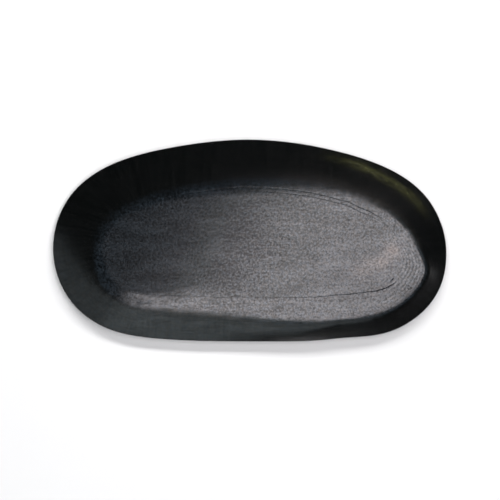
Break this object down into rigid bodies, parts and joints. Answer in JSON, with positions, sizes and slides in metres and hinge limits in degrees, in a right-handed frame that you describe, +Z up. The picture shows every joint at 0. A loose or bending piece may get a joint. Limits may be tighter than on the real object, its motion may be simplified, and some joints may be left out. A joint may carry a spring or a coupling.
{
  "type": "pottery rib",
  "caption": "Oval hard-rubber potter's rib with a flat back, a thin rim and a broad hand-ground bevel round a flat middle, for shaping and smoothing clay by hand.",
  "frame": {"origin": "middle of the flat back, under the centre of the outline's box", "axes": "+X along the length, towards the end with the blunter lower corner; +Y across, towards the arched long side; +Z up from the flat back through the bevelled face"},
  "size_m": [0.1016, 0.0522, 0.0064],
  "materials": {
    "hard_rubber": "satin moulded middle, smoother ground margin"
  },
  "bodies": {
    "root": {"rib_body": "hard_rubber"}
  },
  "joints": []
}
